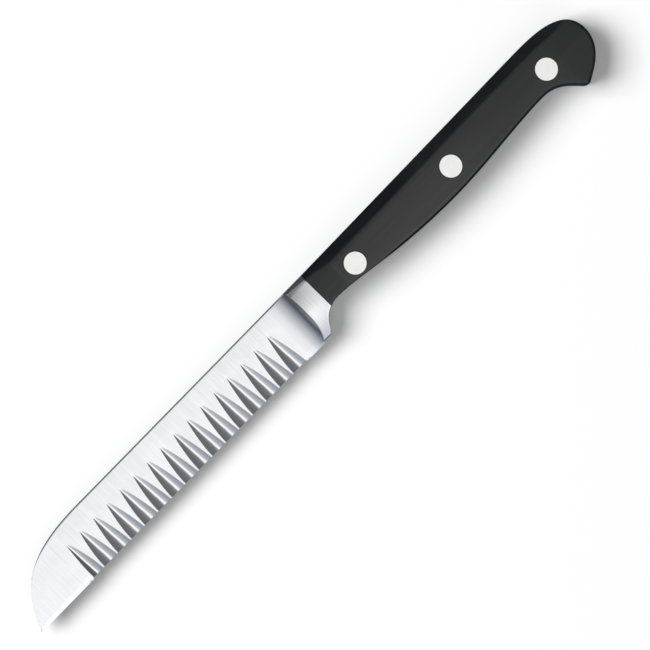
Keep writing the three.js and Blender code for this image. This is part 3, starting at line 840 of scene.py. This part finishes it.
def flute_columns(plan, centre, tip_reach, wall_scale):
    """Columns across one flute, evenly spread above its top; wall_scale narrows the wall on the tip side."""
    flute = plan.flute
    top = flute_top(plan, centre)
    crossing = (flute.pitch / 4 - flute.floor_at_edge / 2) / plan.flute_run
    room = blade_half(plan, 0, plan.fluted_edge) - flute.edge_web / 2
    edge_cut = room / (1 - crossing ** flute.hollow_power)

    def column(side, rank, floor_share, fan, cut_share):
        even_x = centre + side * rank * (tip_reach if side < 0 else plan.flute_heel_reach)
        spread = fan * (plan.flute_run - side * flute.wall_bias) * (wall_scale if side < 0 else 1.0)
        marks = fluted_marks(plan, even_x, top)
        points = []
        for depth in column_depths(marks):
            part = max(0.0, (depth - top) / (plan.fluted_edge - top))
            sunk = 1 - (1 - part) ** flute.sink_power
            floor_half = lerp(flute.floor_at_top, flute.floor_at_edge, part) / 2
            fanned = spread * (sunk if side < 0 else sunk ** flute.heel_fan)
            x = centre - flute.lean * (1 - part) + side * (floor_half * floor_share + fanned)
            x = lerp(x, even_x, min(1.0, max(0.0, (top - depth) / (top - marks[1]))))
            points.append((x, -depth, side_half(plan, x, depth, marks) - edge_cut * sunk * cut_share))
        return points

    # Shares of the floor's width, the wall's width and the cut, from the middle of the flute outwards
    across = [(0.0, 0.0, 1.0), (FLOOR_PART, 0.0, 1.0)]
    across.extend((1.0, wall, 1 - wall ** flute.hollow_power) for wall in WALL_PARTS)
    across.extend([(1.0, 1.0, CREASE_PART / 4), (1.0, 1 + CREASE_PART, 0.0)])
    ranked = [(i / len(across), *item) for i, item in enumerate(across)]
    left = [column(-1, *item) for item in reversed(ranked)]
    right = [column(1, *item) for item in ranked[1:]]
    return left + right


def fluted_columns(plan, upper):
    """Columns of the fluted stretch; the lower side's flutes stand between the upper side's."""
    flute = plan.flute
    columns = []

    def land(x):
        marks = fluted_marks(plan, x, flute_top(plan, x))
        columns.append([(x, -depth, side_half(plan, x, depth, marks)) for depth in column_depths(marks)])
        return x

    first = 0.0 if upper else 0.5
    count = plan.flute_count if upper else plan.flute_count - 1
    last_land = land(plan.fluted_tip_x)
    for index in range(count):
        centre = plan.first_flute_x + (index + first) * flute.pitch
        if not upper and index == 0:
            last_land = land(centre + plan.flute_heel_reach - flute.pitch)
        wall_scale = flute.first_wall if upper and index == 0 else 1.0
        columns.extend(flute_columns(plan, centre, centre - last_land, wall_scale))
        last_land = land(centre + plan.flute_heel_reach)
    if not upper:
        land(plan.fluted_heel_x)
    return columns


def face_half(plan, depth, part):
    """Half the thickness of the bolster at a depth and at a share of the way along its face."""
    bolster = plan.bolster
    fallen = max(0.0, depth - (plan.heel_depth - bolster.heel_fall_height)) / bolster.heel_fall_height
    front = bolster.front_thickness / 2 - bolster.heel_fall * fallen * fallen
    crown = plan.face_fall(depth)
    return lerp(front - crown * bolster.crown_gain, plan.joint_half - crown, part)


HOLLOW_POWER = 5
RAMP_POWER = 1.3
HALVINGS = 40
EDGE_PASSES = 12
BOLSTER_STRIP = 0.28


def fillet_rise(bolster, along):
    """How far the fillet has risen, as a share of its whole rise, at a share of its length."""
    return lerp(along ** HOLLOW_POWER, along ** RAMP_POWER, bolster.fillet_ramp)


def fillet_place(plan, depth, part):
    """x and half thickness at a share of the way up the fillet, which ends at the bolster's face."""
    bolster = plan.bolster
    half = blade_half(plan, 0, depth)
    rise = bolster.front_thickness / 2 - half
    target = (face_half(plan, depth, 0.0) - half) / rise
    low, end = 0.0, 1.0
    for _ in range(HALVINGS):
        middle = (low + end) / 2
        if fillet_rise(bolster, middle) < target:
            low = middle
        else:
            end = middle
    along = part * end
    x = bolster.fillet_length * (along - 1) - bolster.face_length
    return x, half + rise * fillet_rise(bolster, along)


def face_place(plan, depth, part):
    """x and half thickness at a share of the way along the bolster's face."""
    return lerp(fillet_place(plan, depth, 1.0)[0], 0.0, part), face_half(plan, depth, part)


def bolster_column(plan, place, softened):
    """A column of fillet or bolster face; place gives x and half thickness at a depth."""
    blade, bolster = plan.blade, plan.bolster
    edge = plan.heel_depth
    for _ in range(EDGE_PASSES):
        x = place(edge)[0]
        edge = -value_at(plan.guard_line, x) if x > plan.heel_x else blade.depth
    at_heel = edge >= blade.depth
    x, half = place(0.0)
    chamfer = (half - plan.handle.spine_flat / 2) * plan.handle.chamfer_depth
    chamfer /= plan.handle_half - plan.handle.spine_flat / 2
    ease = max(blade.spine_ease, chamfer - x * plan.spine_slope)
    bevel_height = blade.edge_bevel if at_heel else bolster.guard_rim
    bevel_drop = (blade.edge_stock - blade.edge_thickness) / 2
    bevel = edge - bevel_height
    marks = [0.0, ease, lerp(ease, bevel, BOLSTER_STRIP), bevel, edge]
    points = []
    for depth in column_depths(marks):
        x, half = place(depth)
        half -= softened
        if depth > bevel and at_heel:
            half -= sharpening(plan, x) * bevel_drop * (depth - bevel) / bevel_height
        elif depth > bevel:
            half -= bolster.guard_rim * rounding((edge - depth) / (edge - bevel))
        if depth < blade.spine_ease:
            half -= min(blade.spine_ease, half / 2) * rounding(depth / blade.spine_ease)
        points.append((x, -depth, min(half, plan.chamfer_height(x, depth))))
    return points


HEEL_PARTS = (0.0, 0.35, 0.7)
FILLET_STEPS = 16
FACE_PARTS = (0.1, 0.2, 0.3, 0.38, 0.46, 0.54, 0.62, 0.72, 0.82, 0.91, 1.0)
CREASE_SOFTENING = 1 / 5


def heel_columns(plan):
    """Columns from the last flute through the plain heel, fillet and bolster to the joint."""
    blade, bolster = plan.blade, plan.bolster
    start_x = plan.fluted_heel_x + blade.bevel_stop
    fillet_x = fillet_place(plan, 0.0, 0.0)[0]
    marks = plain_marks(plan, start_x, plan.flute.top_near_heel, blade.depth - blade.edge_bevel, blade.depth)
    columns = [plain_column(plan, lambda depth: lerp(start_x, fillet_x, part), marks) for part in HEEL_PARTS]
    rising = [step / FILLET_STEPS for step in range(FILLET_STEPS)]
    rising.append(1 - bolster.crease / bolster.fillet_length / 2)
    steps = [(fillet_place, part, 0.0) for part in rising]
    steps.append((face_place, 0.0, bolster.crease * CREASE_SOFTENING))
    steps.extend((face_place, part, 0.0) for part in (bolster.crease / bolster.face_length, *FACE_PARTS))
    for place_at, part, softened in steps:
        columns.append(bolster_column(plan, lambda depth: place_at(plan, depth, part), softened))
    return columns


def circle(centre, radius, count):
    return [polar(centre, radius, math.tau * i / count) for i in range(count)]


def raised(line, z):
    return [(x, y, z) for x, y in line]


ROUND_STEPS = 64


def forging_skin(plan):
    """Blade, bolster and tang as one closed skin."""
    skin = Skin()
    rest = heel_columns(plan)
    upper = tip_columns(plan) + fluted_columns(plan, True) + rest
    lower = tip_columns(plan) + fluted_columns(plan, False) + rest
    lower = [[(x, y, -z) for x, y, z in column] for column in lower]
    skin.net(upper)
    skin.net(lower)
    half = plan.tang_half
    outline = plan.handle_outline(0.0)
    for row in (0, -1):
        skin.join_rows([column[row] for column in upper[:-1]], [column[row] for column in lower[:-1]])
        end = [upper[-2][row], upper[-1][row], (*upper[-1][row][:2], half), (*upper[-1][row][:2], -half),
               lower[-1][row], lower[-2][row]]
        skin.face(end)
    front = [place[:2] for place in upper[-1]]
    holes = []
    for place in plan.rivet_places().values():
        radius = plan.rivet.tube_diameter / 2 + plan.rivet.clearance
        holes.append((place, radius, circle(place, radius, ROUND_STEPS)))
    loop = front[:-1] + list(reversed(outline[1:]))
    for side, column in ((1, upper[-1]), (-1, lower[-1])):
        z = side * half
        skin.strip(column, raised(front, z))
        skin.patch(loop, holes, lambda x, y, z=z: z)
    skin.strip(raised(outline, half), raised(outline, -half))
    for _, _, hole in holes:
        skin.tube([raised(hole, half), raised(hole, -half)])
    return skin


JOINT_CREASE = 1 / 3
BUTT_CREASE = 1 / 2


def scale_height(plan, x, y):
    """Height of a scale's face before its edges are rounded."""
    handle = plan.handle
    depth = -y
    half = plan.handle_half
    joint_ramp = lerp(plan.joint_half, half, x / handle.joint_ramp)
    ramp_x = handle.length - handle.butt_ramp
    butt_ramp = half - handle.butt_fall * (x - ramp_x) / handle.butt_ramp
    height = soft_min(half, joint_ramp, handle.crease * JOINT_CREASE)
    height = soft_min(height, butt_ramp, handle.crease * BUTT_CREASE)
    height -= plan.face_fall(depth)
    return soft_min(height, plan.chamfer_height(x, depth), handle.crease)


ROUND_ANGLES = (0, 18, 36, 54, 72, 90)
SQUARE_ENOUGH = 0.1


def inset_rings(plan, outline):
    """Rings from the outline in to the flat face, over the rounding along the scale's edge."""
    handle = plan.handle
    last = len(outline) - 1
    widening = (handle.length - handle.spine_round_end, handle.length - handle.butt_round_start)
    edges = []
    for i, (x, y) in enumerate(outline):
        before = Vector(outline[max(i - 1, 0)])
        after = Vector(outline[min(i + 1, last)])
        along = (after - before).normalized()
        normal = Vector((along.y, -along.x))
        if i in (0, last):
            normal = Vector((0.0, 1 / normal.y if abs(normal.y) > SQUARE_ENOUGH else 0.0))
        upper_side = y > -handle.butt_depth and i < last / 2
        butt_part = smooth_step(*widening, x) if upper_side else 1.0
        part = smooth_step(handle.front_round_end, handle.edge_round_start, x)
        width = lerp(handle.front_round, handle.edge_round, part)
        drop = lerp(handle.spine_round, width * handle.edge_steepness, butt_part)
        edges.append((Vector((x, y)), normal, lerp(handle.spine_round, width, butt_part), drop))
    rings = []
    for degrees in ROUND_ANGLES:
        turn = math.radians(degrees)
        ring = []
        for place, normal, width, drop in edges:
            spot = place + normal * width * (1 - math.cos(turn))
            ring.append((spot.x, spot.y, scale_height(plan, spot.x, spot.y) - drop * (1 - math.sin(turn))))
        rings.append(ring)
    return rings


CREASE_MARGIN = 0.35 * MM
CREASE_STEPS = 90
CREASE_START, CREASE_END = 0.4 * MM, 6 * MM
CHAMFER_OFFSETS = (-0.28, 0.0, 0.28)
JOINT_OFFSETS = (-0.5, 0.0, 0.5)
BUTT_OFFSETS = (-0.6, 0.0, 1.5)
SLOPE_STEPS = 8
SLOPE_LINE_TOP = -4.2 * MM
BELLY_ROOM = 1.9 * MM
BEAK_ROOM = 2 * MM


def crease_lines(plan, inner):
    """Lines along the chamfer and the two slopes, so that the face bends where they meet it."""
    handle = plan.handle
    upper = [(x, y) for x, y, _ in inner[: len(inner) // 3]]
    slope = (plan.handle_half - handle.spine_flat / 2) / handle.chamfer_depth
    lines = []
    for offset in CHAMFER_OFFSETS:
        line = []
        for step in range(CREASE_STEPS):
            x = lerp(CREASE_START, handle.length - CREASE_END, step / (CREASE_STEPS - 1))
            face = min(plan.handle_half, lerp(plan.joint_half, plan.handle_half, x / handle.joint_ramp))
            face -= plan.face_fall(handle.chamfer_depth)
            depth = (face - plan.chamfer_height(x, 0.0)) / slope + offset * MM
            if -depth < value_at(upper, x) - CREASE_MARGIN:
                line.append((x, -depth))
        lines.append(line)
    butt_ramp_x = handle.length - handle.butt_ramp
    for middle_x, offsets in ((handle.joint_ramp, JOINT_OFFSETS), (butt_ramp_x, BUTT_OFFSETS)):
        for offset in offsets:
            x = middle_x + offset * MM
            before_beak = x < plan.belly_line[0][0]
            low = value_at(plan.belly_line, x) if before_beak else -handle.beak_depth + BEAK_ROOM
            ends = (low + BELLY_ROOM, SLOPE_LINE_TOP)
            lines.append([(x, lerp(*ends, step / SLOPE_STEPS)) for step in range(SLOPE_STEPS + 1)])
    return lines


DOT_SPACING = 2
DOT_ROWS = 6
DOT_END = 12 * MM
DOT_BELLY_ROOM = 1.4 * MM
DOT_TOP = -4.4 * MM
DOT_RIVET_ROOM = 0.6 * MM


def face_dots(plan, pocket):
    """Points spread over a scale's face, clear of the rivets' pockets, so that it bends evenly."""
    centres = [Vector(place) for place in plan.rivet_places().values()]
    dots = []
    for column in range(1, int((plan.handle.length - DOT_END) / (DOT_SPACING * MM)) + 1):
        x = column * DOT_SPACING * MM
        low = value_at(plan.belly_line, x) + DOT_BELLY_ROOM
        for row in range(DOT_ROWS + 1):
            spot = Vector((x, lerp(low, DOT_TOP, row / DOT_ROWS)))
            if all((spot - centre).length > pocket + DOT_RIVET_ROOM for centre in centres):
                dots.append(tuple(spot))
    return dots


FRONT_STEPS = 24


def scale_skin(plan):
    """The scale on the upper side as one closed skin, with a pocket for each rivet's head."""
    rivet = plan.rivet
    skin = Skin()

    def height(x, y):
        return scale_height(plan, x, y)

    floor_z = plan.tang_half + plan.handle.clearance
    front_x = plan.handle.clearance
    outline = plan.handle_outline(front_x)
    rings = inset_rings(plan, outline)
    skin.net(rings)
    skin.strip(raised(outline, floor_z), rings[0])
    inner = rings[-1]
    top_y, low_y = inner[0][1], inner[-1][1]
    front = [(front_x, lerp(low_y, top_y, step / FRONT_STEPS)) for step in range(1, FRONT_STEPS)]
    pocket = rivet.head_diameter / 2 + rivet.clearance
    bore = rivet.tube_diameter / 2 + rivet.clearance
    pocket_floor = plan.handle_half - rivet.head_thickness - rivet.clearance
    top_holes = []
    floor_holes = []
    for place in plan.rivet_places().values():
        lip = circle(place, pocket + rivet.pocket_lip, ROUND_STEPS)
        wall = circle(place, pocket, ROUND_STEPS)
        hole = circle(place, bore, ROUND_STEPS)
        top_holes.append((place, pocket + rivet.pocket_lip, lip))
        floor_holes.append((place, bore, hole))
        brim = [(x, y, height(x, y)) for x, y in lip]
        broken = [(x, y, height(x, y) - rivet.pocket_lip) for x, y in wall]
        shelf = [raised(wall, pocket_floor), raised(hole, pocket_floor)]
        skin.tube([brim, broken, *shelf, raised(hole, floor_z)])
    loop = [place[:2] for place in inner] + front
    skin.patch(loop, top_holes, height, crease_lines(plan, inner), face_dots(plan, pocket))
    skin.patch(outline, floor_holes, lambda x, y: floor_z)
    front_top = [ring[-1] for ring in rings] + [(x, y, height(x, y)) for x, y in front]
    front_top += [ring[0] for ring in reversed(rings)]
    low_end, high_end = raised([outline[-1], outline[0]], floor_z)
    skin.face([low_end, *front_top, high_end])
    return skin


def turned_skin(centre, profile):
    """A piece turned about a rivet's axis, from [radius, z] points; a flat disc closes each end."""
    skin = Skin()
    rings = [raised(circle(centre, radius, ROUND_STEPS), z) for radius, z in profile]
    skin.tube(rings)
    skin.face(rings[0])
    skin.face(rings[-1])
    return skin


RIM_ANGLES = (0, 30, 60, 90)


def rivet_profiles(plan):
    """Outlines of a rivet's halves as [radius, z] points, both drawn with the head on the upper side."""
    rivet = plan.rivet
    seat = plan.handle_half - rivet.head_thickness
    top = plan.handle_half - rivet.head_sink
    end = rivet.end_gap - seat
    pin = rivet.pin_diameter / 2
    bore = pin + rivet.clearance
    tube = rivet.tube_diameter / 2
    rim = rivet.head_diameter / 2
    ease = rivet.head_ease
    head = [(rim, seat)]
    for turn in map(math.radians, RIM_ANGLES):
        head.append((rim - ease * (1 - math.cos(turn)), top - ease * (1 - math.sin(turn))))
    return {
        "pin": [(pin, end), (pin, seat), *head],
        "tube": [(bore, seat), (bore, end), (tube, end), (tube, seat), *head],
    }


class KnifeOperator:
    """What all the operators share."""

    bl_options = {"REGISTER", "UNDO"}


class KNIFE_OT_forging(KnifeOperator, bpy.types.Operator):
    """Build the blade, bolster and tang in one piece of steel"""

    bl_idname = "knife.forging"
    bl_label = "Forging"

    def execute(self, context):
        plan = Plan(context.scene)
        steel = steel_finish(plan, context.scene.knife_colours)
        piece = forging_skin(plan).build("blade_forging", plan, steel)
        return {"FINISHED"}


class KNIFE_OT_scales(KnifeOperator, bpy.types.Operator):
    """Build the plastic scale on each side of the tang"""

    bl_idname = "knife.scales"
    bl_label = "Scales"

    def execute(self, context):
        plan = Plan(context.scene)
        plastic = plastic_finish(plan, context.scene.knife_colours)
        upper = scale_skin(plan)
        for name, skin in (("scale_upper", upper), ("scale_lower", upper.mirrored())):
            piece = skin.build(name, plan, plastic)
        return {"FINISHED"}


class KNIFE_OT_rivets(KnifeOperator, bpy.types.Operator):
    """Build the two halves of each rivet"""

    bl_idname = "knife.rivets"
    bl_label = "Rivets"

    def execute(self, context):
        plan = Plan(context.scene)
        metal = rivet_finish(context.scene.knife_colours)
        for name, centre in plan.rivet_places().items():
            for half, profile in rivet_profiles(plan).items():
                skin = turned_skin(centre, profile)
                if half == "tube":
                    skin = skin.mirrored()
                piece = skin.build(f"rivet_{name}_{half}", plan, metal)
        return {"FINISHED"}


def studio_world(scene, settings):
    """Light all round: a window overhead on the edge side, and pale cards that light no matt surface."""
    world = bpy.data.worlds.new("studio")
    scene.world = world
    world.use_nodes = True
    sheet = NodeSheet(world.node_tree)
    x, y, z = sheet.axes(sheet.node("ShaderNodeTexCoord", None, None, "Generated"))
    to_tip, to_edge, seen = -x, -y, sheet.seen()
    window = settings.window_light * to_tip.step(-0.39, 0.01)
    window *= 1 - 0.55 * to_tip.step(0.05, 0.45)
    window *= 1 - 0.35 * to_tip.step(0.4, 0.8)
    wall = settings.wall_light * to_tip.step(-0.8, -0.3)
    overhead = settings.ceiling_light + to_edge.step(-0.22, 0.08) * (wall + window)
    table = settings.table_light * to_edge.step(0.3, 0.65) * z.step(0.3, 0.6)
    level = settings.dim_light + z.step(0.0, 0.95) * overhead + table
    across = x * y
    corners = settings.corner_cards * (4 * across * across).step(0.5, 0.85)
    corners *= 1 - 0.7 * (x - y).step(0.8, 1.0)
    spine = settings.spine_card * y.step(0.1, 0.35) * z.step(0.3, 0.5) * (1 - z.step(0.7, 0.88))
    matt = settings.matt_share
    strength = level * (matt + (1 - matt) * seen) + seen * corners.at_least(spine)
    tint = sheet.blend(z.step(0.6, 1.0).at_least(1 - seen), COOL, WHITE)
    background = sheet.node("ShaderNodeBackground", None, {"Color": tint, "Strength": strength})
    sheet.finish("ShaderNodeOutputWorld", background)


LAMP_PLACE = Vector((-1.7, 1.7, 3.2))


class KNIFE_OT_stage(KnifeOperator, bpy.types.Operator):
    """Lay the floor, set the light and place the camera"""

    bl_idname = "knife.stage"
    bl_label = "Stage"

    def execute(self, context):
        scene = context.scene
        settings = scene.knife_stage
        self.lay_floor(scene, settings)
        studio_world(scene, settings)
        self.hang_lamp(scene, settings)
        self.place_camera(scene, settings)
        scene.view_settings.view_transform = "Standard"
        return {"FINISHED"}

    def lay_floor(self, scene, settings):
        half = settings.floor_width / 2
        mesh = bpy.data.meshes.new("floor")
        corners = [(-half, -half, 0), (half, -half, 0), (half, half, 0), (-half, half, 0)]
        mesh.from_pydata(corners, [], [(0, 1, 2, 3)])
        material, sheet = new_finish("pale_floor")
        matt = sheet.node("ShaderNodeBsdfDiffuse", None, {"Color": (*settings.floor, 1.0)})
        white = sheet.node("ShaderNodeEmission", None, {"Color": (*WHITE, 1.0), "Strength": 1.0})
        lift = settings.floor_lift * sheet.seen()
        shader = sheet.node("ShaderNodeMixShader", None, {0: lift, 1: matt, 2: white})
        sheet.finish("ShaderNodeOutputMaterial", shader)
        mesh.materials.append(material)
        floor = bpy.data.objects.new("floor", mesh)
        floor.location.z = CAD_LOW.z - settings.floor_gap
        floor.visible_glossy = False
        scene.collection.objects.link(floor)

    def hang_lamp(self, scene, settings):
        """One soft box on the spine side, which no reflection shows."""
        lamp = bpy.data.lights.new("key_softbox", "AREA")
        lamp.shape = "SQUARE"
        lamp.size = settings.lamp_width
        lamp.energy = settings.lamp_power
        holder = bpy.data.objects.new("key_softbox", lamp)
        holder.location = LAMP_PLACE
        holder.rotation_mode = "QUATERNION"
        holder.rotation_quaternion = (-LAMP_PLACE).to_track_quat("-Z", "Y")
        holder.visible_glossy = False
        scene.collection.objects.link(holder)

    def place_camera(self, scene, settings):
        lens = bpy.data.cameras.new("camera")
        lens.lens = settings.lens
        lens.sensor_width = SENSOR_WIDTH
        camera = bpy.data.objects.new("camera", lens)
        distance = settings.view_width * settings.lens / SENSOR_WIDTH
        blade_z = (CAD_LOW.z + CAD_HIGH.z) / 2
        camera.location = (settings.view_x, settings.view_y, blade_z + distance)
        camera.rotation_euler = (0.0, 0.0, -settings.view_turn)
        scene.collection.objects.link(camera)
        scene.camera = camera


class KNIFE_PT_sidebar(bpy.types.Panel):
    """Lists the pieces of the knife and their sizes"""

    bl_idname = "KNIFE_PT_sidebar"
    bl_label = "Decorating knife"
    bl_space_type = "VIEW_3D"
    bl_region_type = "UI"
    bl_category = "Knife"

    def draw(self, context):
        for operator in OPERATORS:
            self.layout.operator(operator.bl_idname)
        for name in GROUPS:
            box = self.layout.box()
            group = getattr(context.scene, name)
            for setting in group.__annotations__:
                box.prop(group, setting)


GROUPS = {
    "knife_blade": BladeSizes,
    "knife_flute": FluteSizes,
    "knife_bolster": BolsterSizes,
    "knife_handle": HandleSizes,
    "knife_rivet": RivetSizes,
    "knife_colours": KnifeColours,
    "knife_stage": StageSettings,
}
OPERATORS = (KNIFE_OT_forging, KNIFE_OT_scales, KNIFE_OT_rivets, KNIFE_OT_stage)
CLASSES = (*GROUPS.values(), *OPERATORS, KNIFE_PT_sidebar)


def register():
    for item in CLASSES:
        bpy.utils.register_class(item)
    for name, group in GROUPS.items():
        setattr(bpy.types.Scene, name, bpy.props.PointerProperty(type=group))


def unregister():
    for name in GROUPS:
        delattr(bpy.types.Scene, name)
    for item in reversed(CLASSES):
        bpy.utils.unregister_class(item)


def main():
    register()
    bpy.ops.knife.forging()
    bpy.ops.knife.scales()
    bpy.ops.knife.rivets()
    bpy.ops.knife.stage()


if __name__ == "__main__":
    main()
